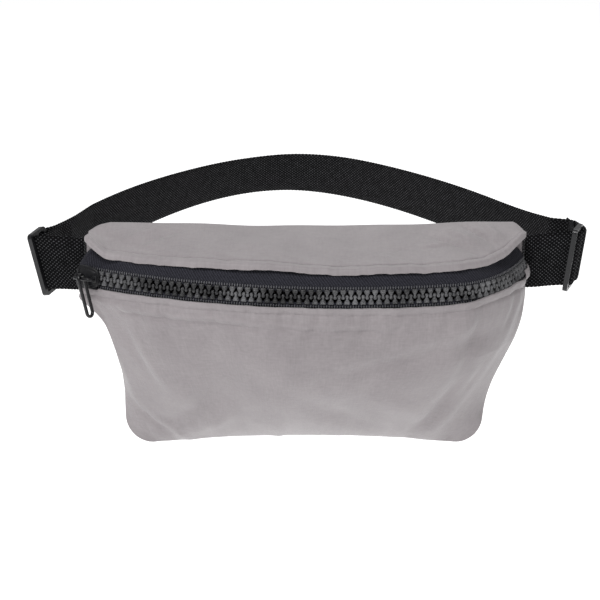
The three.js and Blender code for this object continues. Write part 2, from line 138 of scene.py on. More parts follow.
def add_mesh(name, verts, faces, material, uvs=None):
    """verts in millimetres with heights from the pouch's corners; uvs in metres, one per vertex."""
    verts = np.asarray(verts, float).reshape(-1, 3).copy()
    verts[:, 2] += BASE
    mesh = bpy.data.meshes.new(name)
    mesh.from_pydata((verts * MM).tolist(), [], faces)
    if uvs is not None:
        layer = mesh.uv_layers.new(name="UVMap")
        index = np.zeros(len(mesh.loops), dtype=np.int32)
        mesh.loops.foreach_get("vertex_index", index)
        layer.data.foreach_set("uv", (np.asarray(uvs, float) * MM)[index].ravel())
    mesh.polygons.foreach_set("use_smooth", [True] * len(mesh.polygons))
    mesh.materials.append(material)
    mesh.update()
    return add_object(name, mesh)


def grid_faces(rows, columns, offset=0, flip=False):
    faces = []
    for i in range(rows - 1):
        for j in range(columns - 1):
            a = offset + i * columns + j
            b = a + columns
            quad = (a, b, b + 1, a + 1)
            faces.append(quad[::-1] if flip else quad)
    return faces


def tube_faces(rows, count, closed=False):
    """Faces of a tube of rows rings with count points each, capped unless it closes on itself."""
    faces = []
    for i in range(rows if closed else rows - 1):
        after = (i + 1) % rows
        for j in range(count):
            k = (j + 1) % count
            faces.append((i * count + j, i * count + k, after * count + k, after * count + j))
    if not closed:
        faces.append(tuple(reversed(range(count))))
        faces.append(tuple((rows - 1) * count + j for j in range(count)))
    return faces


def surface_normals(points):
    """Unit normals of a (rows, columns, 3) grid, pointing along rows x columns."""
    down = np.gradient(points, axis=0)
    across = np.gradient(points, axis=1)
    normal = np.cross(down, across)
    return normal / np.maximum(np.linalg.norm(normal, axis=2, keepdims=True), 1e-9)


def shell(name, points, thickness, material, uvs):
    """A closed slab of cloth from a grid of its outer points, rounded over at its edges."""
    rows, columns = points.shape[:2]
    normal = surface_normals(points)
    inner = points - normal * thickness
    verts = np.concatenate([points.reshape(-1, 3), inner.reshape(-1, 3)])
    count = rows * columns
    faces = grid_faces(rows, columns)
    faces += grid_faces(rows, columns, offset=count, flip=True)
    rim = list(range(columns))
    rim += [i * columns + columns - 1 for i in range(1, rows)]
    rim += [(rows - 1) * columns + j for j in range(columns - 2, -1, -1)]
    rim += [i * columns for i in range(rows - 2, 0, -1)]
    for a, b in zip(rim, rim[1:] + rim[:1]):
        faces.append((a, b, b + count, a + count))
    coords = np.concatenate([uvs.reshape(-1, 2)] * 2)
    return add_mesh(name, verts, faces, material, uvs=coords)


def sweep(centres, sides, ups, section, closed=False):
    """Points of a section (list of (side, up)) carried along a route; returns verts and faces."""
    ring = np.asarray(section, float)
    verts = (
        centres[:, None, :]
        + sides[:, None, :] * ring[None, :, 0:1]
        + ups[:, None, :] * ring[None, :, 1:2]
    )
    return verts.reshape(-1, 3), tube_faces(len(centres), len(ring), closed)


def circle(radius, sides):
    return [
        (radius * math.cos(2 * math.pi * k / sides), radius * math.sin(2 * math.pi * k / sides))
        for k in range(sides)
    ]


def joined(parts):
    """Verts and faces of several (verts, faces) joined into one list."""
    verts, faces, offset = [], [], 0
    for v, f in parts:
        verts.append(np.asarray(v, float).reshape(-1, 3))
        faces += [tuple(k + offset for k in face) for face in f]
        offset += len(verts[-1])
    return np.concatenate(verts), faces


# ---------------------------------------------------------------- the zip's path


def arc_y(x, inset=0.0):
    radius = ZIP_RADIUS - inset
    return ZIP_CENTRE[1] - np.sqrt(radius**2 - (np.asarray(x, float) - ZIP_CENTRE[0]) ** 2)


def quadratic(a, b, c, count):
    t = np.linspace(0, 1, count)[:, None]
    a, b, c = (np.asarray(p, float) for p in (a, b, c))
    return (1 - t) ** 2 * a + 2 * t * (1 - t) * b + t**2 * c


def zip_route():
    """Dense points in plan from the left side seam round the front to the right one."""
    half = SEAM_HALF_WIDTH
    left = (ZIP_LEFT_X, float(arc_y(ZIP_LEFT_X)))
    right = (ZIP_RIGHT_X, float(arc_y(ZIP_RIGHT_X)))
    slope = (right[0] - ZIP_CENTRE[0]) / (ZIP_CENTRE[1] - right[1])
    bend = (ZIP_RIGHT_BEND_X, right[1] + slope * (ZIP_RIGHT_BEND_X - right[0]))
    start = np.linspace((-half - 0.3, SEAM_Y), (-half - 1.8, -15), 60)
    corner = quadratic((-half - 1.8, -15), (-half - 2.8, -22.5), left, 60)
    xs = np.linspace(left[0], right[0], 900)
    front = np.stack([xs, arc_y(xs)], axis=1)
    far = quadratic(right, bend, (half, -9), 240)
    end = np.linspace((half, -9), (half + 0.3, SEAM_Y), 40)
    return np.concatenate([start, corner[1:], front[1:], far[1:], end[1:]])


ROUTE = zip_route()
STEPS = np.linalg.norm(np.diff(ROUTE, axis=0), axis=1)
ROUTE_AT = np.concatenate([[0], np.cumsum(STEPS)])
ZIP_LENGTH = ROUTE_AT[-1]


def route_point(along):
    """Plan point and unit tangent at a distance along the zip."""
    along = np.asarray(along, float)
    point = np.stack([np.interp(along, ROUTE_AT, ROUTE[:, k]) for k in (0, 1)], axis=-1)
    ahead = np.stack([np.interp(along + 0.6, ROUTE_AT, ROUTE[:, k]) for k in (0, 1)], axis=-1)
    behind = np.stack([np.interp(along - 0.6, ROUTE_AT, ROUTE[:, k]) for k in (0, 1)], axis=-1)
    return point, unit(ahead - behind)


def along_at(x):
    """Distance along the zip where its arc reaches x."""
    index = np.argmin(np.abs(ROUTE[:, 0] - x) + (ROUTE[:, 1] > -15) * 999)
    return ROUTE_AT[index]


def band_point(along, rise, inward):
    """A point of the leaning zip band."""
    point, tangent = route_point(along)
    shift = np.asarray(inward + rise * math.sin(ZIP_TILT), float)[..., None]
    normal = np.stack([-tangent[..., 1], tangent[..., 0]], axis=-1)
    flat = point + normal * shift
    level = np.broadcast_to(ZIP_LEVEL + rise * math.cos(ZIP_TILT), flat.shape[:-1])
    return np.concatenate([flat, level[..., None]], axis=-1)


def band_axes(along):
    """Unit tangent, outward and up directions of the zip band."""
    _, tangent = route_point(along)
    zero = np.zeros(tangent.shape[:-1])
    run = np.stack([tangent[..., 0], tangent[..., 1], zero], axis=-1)
    level_out = np.stack([tangent[..., 1], -tangent[..., 0], zero], axis=-1)
    rise = np.array([0, 0, 1.0])
    up = rise * math.cos(ZIP_TILT) - level_out * math.sin(ZIP_TILT)
    out = level_out * math.cos(ZIP_TILT) + rise * math.sin(ZIP_TILT)
    return run, out, up


# ---------------------------------------------------------------- pouch cloth


def half_width(z, x):
    """The pouch flares out to the seam late on its left, and sooner on its right."""
    late = np.clip((np.asarray(z, float) - 20) / 76, 0, 1) ** 4
    flare = np.where(np.asarray(x, float) < 0, late, smooth(z, 14, 96))
    side = lerp(BASE_HALF_WIDTH, SEAM_HALF_WIDTH, flare)
    below = np.clip((BASE_CORNER - z) / BASE_CORNER, 0, 1)
    return side - BASE_CORNER * (1 - np.sqrt(np.maximum(0, 1 - below**2)))


def bottom_edge(x):
    return BOTTOM_RISE * np.maximum(0, 1 - (x / (BASE_HALF_WIDTH - BASE_CORNER)) ** 2)


def fullness(share):
    swell = 1 + 0.05 * np.sin(np.pi * share)
    return swell * (1 - (1 - np.minimum(1, share * 1.35)) ** 1.7) ** 0.75


def ripple(x, waves):
    """A sum of sines (length, size, phase), which wrinkles cloth the same way every run."""
    return sum(size * np.sin(2 * np.pi * x / length + phase) for length, size, phase in waves)


SWAG = [(83.0, 1.0, 0.7), (47.0, 0.7, 2.4), (131.0, 1.1, 4.4)]
PUCKER = [(9.3, 0.5, 0.3), (6.1, 0.35, 1.9), (14.9, 0.6, 4.1), (4.3, 0.18, 2.6)]
GATHER = [(17.0, 0.7, 0.9), (11.3, 0.5, 3.3), (29.0, 0.9, 5.0), (7.1, 0.25, 1.2)]

# Dents and folds of the front: middle (x, z), half size (along, across), turn in degrees, height
FRONT_FOLDS = [
    ((-46, 62), (13, 40), 6, -2.6), ((-72, 60), (10, 34), 4, 1.7), ((-8, 60), (15, 36), -6, 1.9),
    ((34, 56), (13, 34), -8, -2.0), ((58, 72), (42, 6), 14, -2.0), ((62, 84), (30, 5), 16, 1.2),
    ((-62, 30), (28, 7), 48, -2.2), ((-50, 22), (26, 6), 44, 1.8), ((20, 30), (30, 8), -38, -1.8),
    ((48, 40), (30, 9), -30, 1.6), ((72, 30), (26, 4.5), 62, -2.4), ((82, 34), (24, 4), 66, 2.2),
    ((90, 48), (20, 3.4), 60, -2.0), ((97, 58), (20, 3), 64, 1.4), ((88, 74), (20, 3.6), 70, -1.4),
    ((-92, 72), (18, 3.6), -60, -1.6), ((-84, 64), (18, 4), -54, 1.4), ((-84, 16), (20, 3.4), -46, -1.7),
    ((-74, 12), (16, 3), -42, 1.2), ((0, 97), (7, 1.6), 50, 0.8), ((8, 96), (7, 1.6), 48, -0.7),
    ((16, 95), (7, 1.8), 46, 0.7),
]


def front_surface(along, share):
    from_left, from_right = along * ZIP_LENGTH, (1 - along) * ZIP_LENGTH
    edge = FRONT_EDGE - 6 * (1 - smooth(from_left, 4, 20)) - 2.4 * (1 - smooth(from_right, 1, 13))
    edge = edge + 2.2 * smooth(from_right, 9, 27) * (1 - smooth(from_right, 44, 80))
    rim = band_point(from_left, edge, -2.0)
    even = (2 * along - 1) * SEAM_HALF_WIDTH
    across = lerp(even, rim[..., 0], np.minimum(1, share * 1.5))
    half = half_width(share * rim[..., 2], across)
    x = np.clip(across * half / SEAM_HALF_WIDTH, -half - 0.6, half + 0.6)
    lens = -BODY_DEPTH * (1 - np.minimum(1, np.abs(even) / SEAM_HALF_WIDTH) ** 2.4)
    outline = np.minimum(0, lerp(lens, rim[..., 1] - SEAM_Y, share))
    y = SEAM_Y + outline * fullness(share)
    z = lerp(bottom_edge(x), rim[..., 2], share)
    return np.stack([x, y, z], axis=-1)


def hollow(x, z, centre, size, turn=0.0):
    """A soft dent: 1 at its centre, fading over size = (along, across), turned by turn degrees."""
    a = math.radians(turn)
    u = (x - centre[0]) * math.cos(a) + (z - centre[1]) * math.sin(a)
    v = -(x - centre[0]) * math.sin(a) + (z - centre[1]) * math.cos(a)
    return np.exp(-((u / size[0]) ** 2) - (v / size[1]) ** 2)


def front_relief(x, z, along, share):
    """How far the front cloth stands out of its smooth shape."""
    s = along * ZIP_LENGTH
    top = (1 - share) * 101.5
    relief = -0.8 * np.exp(-((top - 4.2) / 1.3) ** 2)
    relief += 0.22 * ripple(s, PUCKER) * np.exp(-((top - 5) / 7) ** 2)
    relief += 0.5 * ripple(s * 0.8 + top * 0.3, GATHER) * np.exp(-((top - 12) / 16) ** 2)
    low = z - bottom_edge(x)
    relief += 0.9 * ripple(x, GATHER) * np.exp(-(low / 16) ** 2) * smooth(low, 0, 4)
    sag = top - 10.5 - 0.018 * (x + 60)
    under_zip = smooth(x, -108, -92) * (1 - smooth(x, 30, 58))
    fold = 0.9 * np.exp(-((sag + 2.4) / 2.6) ** 2) - 0.75 * np.exp(-((sag - 0.8) / 1.9) ** 2)
    relief += fold * under_zip
    for centre, size, turn, height in FRONT_FOLDS:
        relief += 1.2 * height * hollow(x, z, centre, size, turn) * smooth(top, 2, 14)
    side = smooth(share, 0.02, 0.2)
    edge = 1 - smooth(np.abs(2 * along - 1), 0.86, 0.99)
    return relief * (0.25 + 0.75 * edge) * (0.35 + 0.65 * side)


def front_cloth(material):
    along, share = np.meshgrid(np.linspace(0, 1, 420), np.linspace(1, 0, 170), indexing="ij")
    share = share**1.12
    points = front_surface(along, share)
    normal = surface_normals(points)
    if normal[200, 80, 1] > 0:
        normal = -normal
    points += normal * front_relief(points[..., 0], points[..., 2], along, share)[..., None]
    points[..., 1] = np.minimum(points[..., 1], SEAM_Y)
    uvs = np.stack([along * ZIP_LENGTH, share * 118], axis=-1)
    return shell("pouch_front", points, 1.1, material, uvs), points


def lid_edge(x):
    """Front edge of the lid in plan: a rounded corner on the left, a slanting one on the right."""
    left, inset = -98.0, 3.4
    x = np.asarray(x, float)
    out_left = np.clip((left - x) / (SEAM_HALF_WIDTH + left), 0, 1)
    out_right = np.clip((x - ZIP_RIGHT_X) / (SEAM_HALF_WIDTH - ZIP_RIGHT_X), 0, 1)
    middle = arc_y(np.clip(x, left, ZIP_RIGHT_X), inset)
    middle = middle + 18 * (1 - np.sqrt(1 - out_left**2))
    return lerp(-9, middle, (1 - out_right**1.4) ** (1 / 1.4))


# Dents and folds of the lid, as for the front but laid out in plan
LID_FOLDS = [
    ((-10, -26), (22, 16), 0, 1.3), ((34, -24), (16, 15), 0, -1.2), ((-48, -20), (16, 12), 10, -1.2),
    ((93, -15), (12, 2.6), -58, -2.2), ((85, -20), (13, 2.6), -48, 1.5), ((77, -25), (13, 2.4), -40, -1.7),
    ((101, -12), (10, 2.4), -66, 1.3), ((-86, -13), (12, 3.2), 34, 1.4),
    ((-78, -18), (13, 2.4), 28, -1.1), ((56, -34), (22, 2.8), 8, -0.8), ((68, -30), (14, 2.4), 20, 0.9),
]


def lid_end_lift(x):
    """How much higher the lid's front edge is at its ends."""
    lift = np.where(np.asarray(x, float) < 0, 7.5, 6.0)
    return lift * smooth(np.abs(x), SEAM_HALF_WIDTH - 17, SEAM_HALF_WIDTH) ** 1.3


def corner_scale(x, distance):
    """How the lid's ends are drawn in near the fold along its top edge."""
    size = np.where(x < 0, *LID_CORNERS)
    return 1 - size * (1 - np.clip(distance / CORNER_REACH, 0, 1)) ** 1.3 / SEAM_HALF_WIDTH


def fold_rise(x):
    """The fold along the top stands a little higher towards its ends."""
    return 2.2 * (np.asarray(x, float) / 112) ** 2 + 0.25 * ripple(x, SWAG)


def lid_cloth(material):
    """Top panel: from the fold at the back, forward and down to a rolled hem over the zip tape."""
    u, v = np.meshgrid(np.linspace(0, 1, 420), np.linspace(0, 1, 120), indexing="ij")
    spread = 0.5 - 0.5 * np.cos(np.pi * u)
    u = lerp(u, spread, 0.35)
    x = lerp(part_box("top_panel")[0][0] / MM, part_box("top_panel")[1][0] / MM, u)
    edge = lid_edge(x) - 0.6
    rise = ZIP_LEVEL + LID_EDGE * math.cos(ZIP_TILT) + lid_end_lift(x)
    hem = np.clip((v - 0.93) / 0.07, 0, 1)
    t = np.clip(v / 0.93, 0, 1)
    y = edge * t**0.92
    z = lerp(BACK_HEIGHT, rise + 1.2, t**1.7)
    x = x * corner_scale(x, BACK_HEIGHT - z - y)
    z = z + fold_rise(x) * (1 - smooth(t, 0, 0.8))
    from_edge = (1 - t) * np.abs(edge)
    relief = 0.16 * ripple(x, PUCKER) * np.exp(-((from_edge - 1) / 5) ** 2)
    relief -= 0.55 * np.exp(-((from_edge - 3.6) / 0.9) ** 2)
    relief += 0.22 * ripple(x * 0.7 + y, GATHER) * np.exp(-((from_edge - 8) / 10) ** 2)
    relief += 0.5 * ripple(x + 0.8 * y, SWAG) * smooth(t, 0.1, 0.5)
    for centre, size, turn, height in LID_FOLDS:
        relief += height * hollow(x, y, centre, size, turn)
    relief *= smooth(t, 0, 0.12)
    z = z + relief - 2.2 * hem**1.5
    y = y - 0.5 * np.sin(hem * np.pi * 0.5) + 0.12 * ripple(x, GATHER) * smooth(t, 0.8, 1)
    points = np.stack([x, y, z], axis=-1)
    uvs = np.stack([x, y], axis=-1)
    return shell("pouch_lid", points, 1.1, material, uvs), points


def back_cloth(material):
    """Back panel, and above the fold line the strip that turns over the top with the lid."""
    u, v = np.meshgrid(np.linspace(-1, 1, 160), np.linspace(0, 1, 110), indexing="ij")
    level = v * BACK_HEIGHT
    x = u * half_width(np.minimum(level, 101), u)
    z = lerp(bottom_edge(x), BACK_HEIGHT - 0.4 + fold_rise(x), v)
    x = x * corner_scale(x, (1 - v) * BACK_HEIGHT)
    puff = -0.5 + 0.5 * ripple(x + z * 0.4, GATHER) * 0.3
    round_over = 2.6 * smooth(level, BACK_HEIGHT - 4, BACK_HEIGHT) ** 2
    rim = np.minimum(1, (1 - np.abs(u)) * 14) * np.minimum(1, v * 14)
    y = np.minimum(0.0, puff * rim - round_over)
    points = np.stack([x, y, z], axis=-1)
    points = points[::-1]
    uvs = np.stack([x, z], axis=-1)[::-1]
    return shell("pouch_back", points, 1.1, material, uvs)


# ---------------------------------------------------------------- materials


def new_material(name):
    material = bpy.data.materials.new(name)
    material.use_nodes = True
    return material, material.node_tree, material.node_tree.nodes["Principled BSDF"]


def node(tree, kind, settings=None, **inputs):
    made = tree.nodes.new(kind)
    for key, value in (settings or {}).items():
        setattr(made, key, value)
    for key, value in inputs.items():
        socket = made.inputs[int(key[1:])] if key[1:].isdigit() else made.inputs[key]
        if isinstance(value, bpy.types.NodeSocket):
            tree.links.new(value, socket)
        else:
            socket.default_value = value
    return made


def maths(tree, operation, *values):
    inputs = {f"_{k}": value for k, value in enumerate(values)}
    return node(tree, "ShaderNodeMath", {"operation": operation}, **inputs).outputs[0]


def weighted(tree, *pairs):
    """The sum of each value times its weight."""
    first, *others = (maths(tree, "MULTIPLY", value, weight) for value, weight in pairs)
    for term in others:
        first = maths(tree, "ADD", first, term)
    return first


def uv_parts(tree):
    """The u and v of a piece, which are its cloth's own lengths in metres."""
    coords = node(tree, "ShaderNodeTexCoord").outputs["UV"]
    split = node(tree, "ShaderNodeSeparateXYZ", _0=coords)
    return coords, split.outputs[0], split.outputs[1]


def waves(tree, value, length_mm):
    return maths(tree, "SINE", maths(tree, "MULTIPLY", value, 2 * math.pi / (length_mm * MM)))


def noise(tree, vector, size_mm, detail=3.0, roughness=0.55):
    made = node(
        tree, "ShaderNodeTexNoise", None,
        Vector=vector, Scale=1 / (size_mm * MM), Detail=detail, Roughness=roughness,
    )
    return made.outputs[0]


def two_tone(tree, factor, dark, light, low=0.3, high=0.7):
    ramp = node(tree, "ShaderNodeValToRGB", None, Fac=factor)
    first, last = ramp.color_ramp.elements
    first.position, last.position = low, high
    first.color, last.color = (*dark, 1), (*light, 1)
    return ramp.outputs[0]


def scaled(tree, factor, low, high, start=0.0):
    """factor, which runs from start to 1, carried to low to high."""
    made = node(tree, "ShaderNodeMapRange", None, Value=factor)
    made.inputs["From Min"].default_value = start
    made.inputs["To Min"].default_value = low
    made.inputs["To Max"].default_value = high
    return made.outputs[0]


def bumped(tree, shader, height, depth_mm, strength=1.0):
    bump = node(tree, "ShaderNodeBump", None, Height=height, Strength=strength)
    bump.inputs["Distance"].default_value = depth_mm * MM
    tree.links.new(bump.outputs[0], shader.inputs["Normal"])


def fixed(shader, **values):
    for key, value in values.items():
        shader.inputs[key.replace("_", " ")].default_value = value


def streaks(tree, across, along, fine_mm, long_mm):
    """Noise drawn out along one direction of the weave, as single thicker threads are."""
    spot = node(tree, "ShaderNodeCombineXYZ", None, X=across)
    tree.links.new(maths(tree, "MULTIPLY", along, fine_mm / long_mm), spot.inputs["Y"])
    return noise(tree, spot.outputs[0], fine_mm, 2)


def satin_cloth():
    """Grey satin: a fine diagonal weave, slubs, faint mottling and a soft sheen."""
    material, tree, shader = new_material("satin_cloth")
    coords, u, v = uv_parts(tree)
    diagonal = maths(tree, "ADD", u, maths(tree, "MULTIPLY", v, 0.62))
    twill = waves(tree, diagonal, 0.62)
    weft = waves(tree, v, 0.34)
    weave = weighted(tree, (twill, 0.6), (weft, 0.4))
    slub = noise(tree, coords, 2.2, 4)
    cloudy = noise(tree, coords, 26, 3)
    crease = noise(tree, coords, 7, 5, 0.62)
    threads = maths(tree, "ADD", streaks(tree, u, v, 0.9, 9), streaks(tree, v, u, 0.9, 9))
    height = weighted(tree, (weave, 0.05), (slub, 0.1), (crease, 0.55))
    mottle = weighted(tree, (cloudy, 0.35), (slub, 0.25), (threads, 0.2))
    colour = two_tone(tree, mottle, (0.225, 0.203, 0.211), (0.302, 0.275, 0.283), 0.36, 0.64)
    tree.links.new(colour, shader.inputs["Base Color"])
    tree.links.new(scaled(tree, slub, 0.44, 0.6), shader.inputs["Roughness"])
    bumped(tree, shader, height, 0.9, 0.55)
    fixed(shader, Sheen_Weight=0.25, Sheen_Roughness=0.45, Specular_IOR_Level=0.42)
    shader.inputs["Anisotropic"].default_value = 0.35
    return material


def tape_cloth():
    """Zip tape: a steep herringbone in blue-black yarn."""
    material, tree, shader = new_material("zip_tape_weave")
    coords, u, v = uv_parts(tree)
    twill = waves(tree, maths(tree, "ADD", u, maths(tree, "MULTIPLY", v, 0.8)), 1.6)
    weft = waves(tree, v, 0.7)
    weave = maths(tree, "MULTIPLY", twill, maths(tree, "ADD", maths(tree, "MULTIPLY", weft, 0.4), 0.6))
    fuzz = noise(tree, coords, 1.1, 5, 0.7)
    tone = maths(tree, "ADD", scaled(tree, weave, 0.2, 0.5), maths(tree, "MULTIPLY", fuzz, 0.5))
    colour = two_tone(tree, tone, (0.003, 0.003, 0.006), (0.05, 0.05, 0.066), 0.35, 0.85)
    tree.links.new(colour, shader.inputs["Base Color"])
    height = weighted(tree, (weave, 0.5), (fuzz, 0.6))
    bumped(tree, shader, height, 0.4, 0.9)
    fixed(shader, Roughness=0.85, Specular_IOR_Level=0.25)
    return material


WEAVE_ALONG, WEAVE_ACROSS = 2.3, 2.0


def crests(tree, value, length_mm):
    """A wave along a length with its crest at the start."""
    turns = maths(tree, "MULTIPLY", value, 2 * math.pi / (length_mm * MM))
    return maths(tree, "COSINE", turns)


def webbing_cloth():
    """Black webbing: staggered picks, each crown painted paler as a highlight, and loose fibre over them.
    """
    material, tree, shader = new_material("webbing_weave")
    coords, u, v = uv_parts(tree)
    picks = maths(tree, "MULTIPLY", crests(tree, u, WEAVE_ALONG), crests(tree, v, WEAVE_ACROSS))
    raised = scaled(tree, picks, 0.0, 1.0, start=-0.2)
    fuzz = noise(tree, coords, 1.3, 4, 0.8)
    highlight_patches = noise(tree, coords, 4.5, 3)
    # Painted highlight: each raised crown is coloured paler than the near-black hollows, and this is
    # stronger in some patches than others.
    tone = maths(tree, "MULTIPLY", raised, maths(tree, "MULTIPLY", fuzz, 1.9))
    tone = maths(tree, "MULTIPLY", tone, maths(tree, "ADD", highlight_patches, 0.5))
    colour = two_tone(tree, tone, (0.0012, 0.0012, 0.0016), (0.088, 0.088, 0.094), 0.38, 1.0)
    tree.links.new(colour, shader.inputs["Base Color"])
    height = maths(tree, "ADD", raised, maths(tree, "MULTIPLY", fuzz, 0.6))
    bumped(tree, shader, height, 0.4, 0.9)
    fixed(shader, Roughness=0.85, Specular_IOR_Level=0.12)
    return material


def moulded(name, dark, light, roughness, grain_mm, depth_mm, specular=0.5, patch_mm=6, tones=(0.35, 0.7)):
    """A moulded or cast surface: fine grain, and tone that drifts a little over the piece; on the zip teeth
    this drift is painted highlights.
    """
    material, tree, shader = new_material(name)
    coords = node(tree, "ShaderNodeTexCoord").outputs["Object"]
    grain = noise(tree, coords, grain_mm, 3)
    # On most pieces this noise varies the tone at random; on the teeth its grey patches are painted
    # highlights.
    drift_and_highlight = noise(tree, coords, patch_mm, 4, 0.6)
    tone = weighted(tree, (grain, 0.35), (drift_and_highlight, 0.65))
    tree.links.new(two_tone(tree, tone, dark, light, *tones), shader.inputs["Base Color"])
    rough = scaled(tree, drift_and_highlight, roughness - 0.07, roughness + 0.1)
    tree.links.new(rough, shader.inputs["Roughness"])
    bumped(tree, shader, grain, depth_mm, 0.5)
    fixed(shader, Specular_IOR_Level=specular)
    return material


def thread_yarn(name, dark, light):
    """Twisted sewing thread: diagonal plies and loose fibre."""
    material, tree, shader = new_material(name)
    coords = node(tree, "ShaderNodeTexCoord").outputs["Object"]
    split = node(tree, "ShaderNodeSeparateXYZ", _0=coords)
    slant = maths(tree, "ADD", split.outputs[0], split.outputs[2])
    plies = waves(tree, slant, 0.5)
    fibre = noise(tree, coords, 0.6, 4)
    tone = maths(tree, "ADD", scaled(tree, plies, 0.2, 0.5), maths(tree, "MULTIPLY", fibre, 0.4))
    tree.links.new(two_tone(tree, tone, dark, light), shader.inputs["Base Color"])
    bumped(tree, shader, plies, 0.08, 0.7)
    fixed(shader, Roughness=0.6, Sheen_Weight=0.3)
    return material


def pale_floor():
    material, _, shader = new_material("pale_floor")
    fixed(shader, Base_Color=(0.9, 0.9, 0.9, 1), Roughness=0.9)
    fixed(shader, Emission_Color=(1, 1, 1, 1), Emission_Strength=0.56)
    return material


# ---------------------------------------------------------------- solid shapes


def rounded_outline(points, radius, steps=4):
    """A closed outline with each corner rounded."""
    result = []
    count = len(points)
    for k in range(count):
        before, here, after = (np.array(points[(k + d) % count], float) for d in (-1, 0, 1))
        back, ahead = before - here, after - here
        reach = min(radius, 0.48 * np.linalg.norm(back), 0.48 * np.linalg.norm(ahead))
        start = here + back / np.linalg.norm(back) * reach
        end = here + ahead / np.linalg.norm(ahead) * reach
        for t in np.linspace(0, 1, steps + 1):
            result.append((1 - t) ** 2 * start + 2 * t * (1 - t) * here + t**2 * end)
    return np.array(result)


def inset(outline, amount):
    """The outline drawn in by amount, along each point's own normal."""
    ahead = np.roll(outline, -1, axis=0) - outline
    behind = outline - np.roll(outline, 1, axis=0)
    run = ahead / np.maximum(np.linalg.norm(ahead, axis=1, keepdims=True), 1e-6)
    run += behind / np.maximum(np.linalg.norm(behind, axis=1, keepdims=True), 1e-6)
    run /= np.maximum(np.linalg.norm(run, axis=1, keepdims=True), 1e-6)
    area = np.sum(outline[:, 0] * np.roll(outline[:, 1], -1) - outline[:, 1] * np.roll(outline[:, 0], -1))
    normal = np.stack([-run[:, 1], run[:, 0]], axis=1) * np.sign(area)
    return outline + normal * amount


def plate(outline, low, high, bevel):
    """Verts (a, b, c) and faces of an outline in (a, b) raised from c = low to high, edges eased."""
    outline = np.asarray(outline, float)
    count = len(outline)
    small = inset(outline, bevel)
    half = inset(outline, bevel * 0.3)
    rings = [
        (small, low), (half, low + bevel * 0.3), (outline, low + bevel),
        (outline, high - bevel), (half, high - bevel * 0.3), (small, high),
    ]
    verts = np.concatenate([np.column_stack([ring, np.full(count, c)]) for ring, c in rings])
    return verts, tube_faces(len(rings), count)


def placed(local, origin, axes):
    """Local (a, b, c) coordinates carried to an origin along three axes."""
    return origin + local @ np.array(axes)


def box_outline(half_a, half_b, radius):
    corners = [(-half_a, -half_b), (half_a, -half_b), (half_a, half_b), (-half_a, half_b)]
    return rounded_outline(corners, radius)


STITCH_SINK = 0.02


def capsules(starts, ends, radius, ups, sides=6):
    """Short stitches: a fat-middled thread from each start to its end."""
    parts = []
    profile = [(0.0, 0.35), (0.18, 0.85), (0.5, 1.0), (0.82, 0.85), (1.0, 0.35)]
    for start, end, up in zip(starts, ends, ups):
        run = end - start
        side = unit(np.cross(unit(run), up))
        centres = np.array([start + run * t + up * radius * 0.5 * (s - 0.3) for t, s in profile])
        verts, faces = [], []
        for centre, (_, size) in zip(centres, profile):
            for k in range(sides):
                a = 2 * math.pi * k / sides
                verts.append(centre + (side * math.cos(a) + up * math.sin(a)) * radius * size)
        for i in range(len(profile) - 1):
            for k in range(sides):
                a, b = i * sides + k, i * sides + (k + 1) % sides
                faces.append((a, a + sides, b + sides, b))
        faces.append(tuple(range(sides)))
        faces.append(tuple((len(profile) - 1) * sides + k for k in reversed(range(sides))))
        parts.append((verts, faces))
    return joined(parts)


def stitches(path, normals, length, gap, radius):
    """A row of stitches along a path that lies on cloth whose outward normals are given."""
    steps = np.linalg.norm(np.diff(path, axis=0), axis=1)
    at = np.concatenate([[0], np.cumsum(steps)])
    count = int(at[-1] // (length + gap))
    starts, ends, ups = [], [], []
    for k in range(count):
        a = k * (length + gap) + gap
        first = np.array([np.interp(a, at, path[:, i]) for i in range(3)])
        second = np.array([np.interp(a + length, at, path[:, i]) for i in range(3)])
        up = unit(np.array([np.interp(a + length / 2, at, normals[:, i]) for i in range(3)]))
        starts.append(first + up * (radius - STITCH_SINK))
        ends.append(second + up * (radius - STITCH_SINK))
        ups.append(up)
    return capsules(starts, ends, radius, ups)


# ---------------------------------------------------------------- zip

SLIDER_AT = along_at(SLIDER_X)
CHAIN_START = SLIDER_AT - 1.5


def tape_strip(name, low, high, tuck, material):
    along, across = np.meshgrid(np.linspace(1, ZIP_LENGTH - 1, 420), np.linspace(0, 1, 14), indexing="ij")
    end = lid_end_lift(band_point(along, 0.0, 0.0)[..., 0])
    far = high + 0.6 * end * (high > 0)
    near_end = 1 - smooth(np.minimum(along, ZIP_LENGTH - along), 6, 22)
    near = low + 6.5 * near_end * (low < -5)
    rise = lerp(far, near, across)
    wave = 0.16 * ripple(along + rise, GATHER) * smooth(np.abs(rise), 5, 11)
    corner = 4 * (1 - smooth(along, 22, 44)) + 3 * smooth(along, ZIP_LENGTH - 60, ZIP_LENGTH - 30)
    under = tuck * smooth(np.abs(rise), 5, 10) + corner * smooth(rise, 4, high)
    under += 1.6 * smooth(rise, 10, 12.5) * (high > 0)
    points = band_point(along, rise, under + wave)
    uvs = np.stack([along, rise], axis=-1)
    return shell(name, points, 0.7, material, uvs)


def tape_bead(name, rise, material, yarn):
    """The corded edge of a tape, and the little bars of yarn that hold the teeth on."""
    along = np.linspace(CHAIN_START - 5, ZIP_LENGTH - 3, 400)
    centres = band_point(along, np.full(400, rise), np.full(400, -0.45))
    _, out, up = band_axes(along)
    cord = sweep(centres, out, up, circle(0.75, 10))
    bars = np.arange(CHAIN_START - 4, ZIP_LENGTH - 4, 1.38)
    _, bar_out, bar_up = band_axes(bars)
    middle = band_point(bars, np.full(len(bars), rise), np.full(len(bars), -0.95))
    bars = capsules(middle - bar_up * 0.8, middle + bar_up * 0.8, 0.3, bar_out, sides=5)
    return add_mesh(f"{name}_cord", *cord, material), add_mesh(f"{name}_yarn", *bars, yarn)


